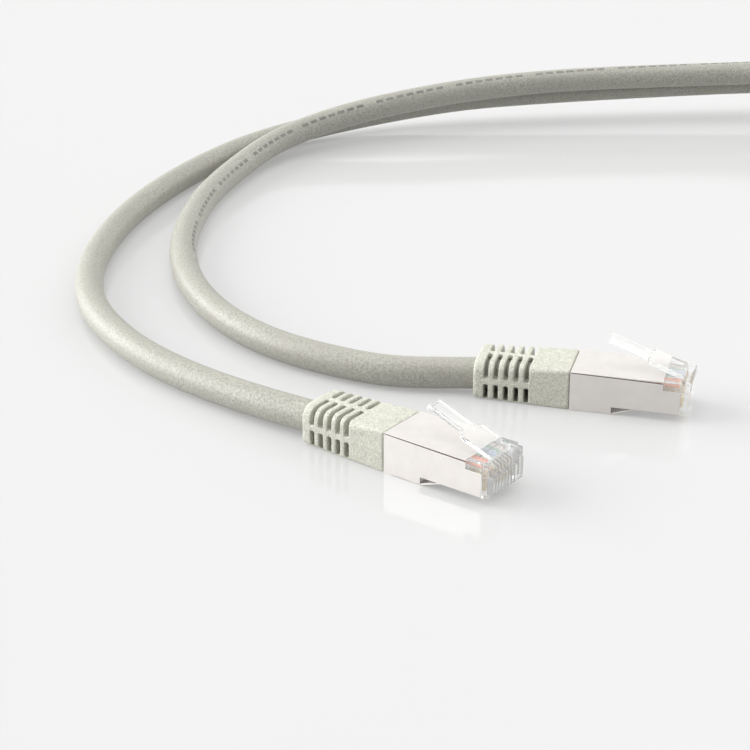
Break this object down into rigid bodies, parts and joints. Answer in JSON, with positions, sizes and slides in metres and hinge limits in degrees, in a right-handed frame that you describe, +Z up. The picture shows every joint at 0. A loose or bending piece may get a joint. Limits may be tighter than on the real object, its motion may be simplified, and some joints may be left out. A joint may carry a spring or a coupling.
{
  "type": "ethernet patch cable",
  "caption": "Shielded ethernet patch cable: modular plugs with clear latches and slotted grey strain-relief boots on one round grey cord that loops back to a tied coil.",
  "frame": {"origin": "on the surface the cable lies on, below the middle of the box round the two plugs with their boots and latches", "axes": "+X to the right along the longer side of the pair of plugs, +Y away from the plugs' near side towards the far side of the cord's loops, +Z up; both plugs lie contact side down, latch up"},
  "size_m": [0.2916, 0.2495, 0.0207],
  "materials": {
    "boot_pvc": "fine grained matte",
    "clear_plastic": "clear, polished",
    "nickel_shield": "bright nickel plate",
    "braid": "tinned fine wire",
    "cord_pvc": "satin matte",
    "contact_gold": "bright gold flash",
    "strap": "matte",
    "wire_white_orange": "satin",
    "wire_orange": "satin",
    "wire_white_green": "satin",
    "wire_blue": "satin",
    "wire_white_blue": "satin",
    "wire_green": "satin",
    "wire_white_brown": "satin",
    "wire_brown": "satin"
  },
  "bodies": {
    "cable": {"boot_a": "boot_pvc", "housing_a": "clear_plastic", "shield_shell_a": "nickel_shield", "shield_cover_a": "nickel_shield", "load_bar_a": "clear_plastic", "crimp_ferrule_a": "nickel_shield", "cable_braid_a": "braid", "cable_jacket_a": "cord_pvc", "contact_a_1": "contact_gold", "contact_a_2": "contact_gold", "contact_a_3": "contact_gold", "contact_a_4": "contact_gold", "contact_a_5": "contact_gold", "contact_a_6": "contact_gold", "contact_a_7": "contact_gold", "contact_a_8": "contact_gold", "conductor_a_1": "wire_white_orange", "conductor_a_2": "wire_orange", "conductor_a_3": "wire_white_green", "conductor_a_4": "wire_blue", "conductor_a_5": "wire_white_blue", "conductor_a_6": "wire_green", "conductor_a_7": "wire_white_brown", "conductor_a_8": "wire_brown", "boot_b": "boot_pvc", "housing_b": "clear_plastic", "shield_shell_b": "nickel_shield", "shield_cover_b": "nickel_shield", "load_bar_b": "clear_plastic", "crimp_ferrule_b": "nickel_shield", "cable_braid_b": "braid", "cable_jacket_b": "cord_pvc", "contact_b_1": "contact_gold", "contact_b_2": "contact_gold", "contact_b_3": "contact_gold", "contact_b_4": "contact_gold", "contact_b_5": "contact_gold", "contact_b_6": "contact_gold", "contact_b_7": "contact_gold", "contact_b_8": "contact_gold", "conductor_b_1": "wire_white_orange", "conductor_b_2": "wire_orange", "conductor_b_3": "wire_white_green", "conductor_b_4": "wire_blue", "conductor_b_5": "wire_white_blue", "conductor_b_6": "wire_green", "conductor_b_7": "wire_white_brown", "conductor_b_8": "wire_brown", "cable_run_a": "cord_pvc", "cable_run_b": "cord_pvc", "coil": "cord_pvc", "tie": "strap"},
    "latch_a": {"latch_a": "clear_plastic"},
    "latch_b": {"latch_b": "clear_plastic"}
  },
  "joints": [
    {"name": "latch_a_press", "type": "hinge", "parent": "cable", "child": "latch_a", "pos_m": [-0.00281, -0.02305, 0.0085], "axis": [-0.6032, -0.7976, 0], "range_deg": [0, 12.5], "stiffness_Nm_per_rad": 0.4},
    {"name": "latch_b_press", "type": "hinge", "parent": "cable", "child": "latch_b", "pos_m": [0.03547, 0.01235, 0.0085], "axis": [-0.2605, -0.9655, 0], "range_deg": [0, 12.5], "stiffness_Nm_per_rad": 0.4}
  ]
}
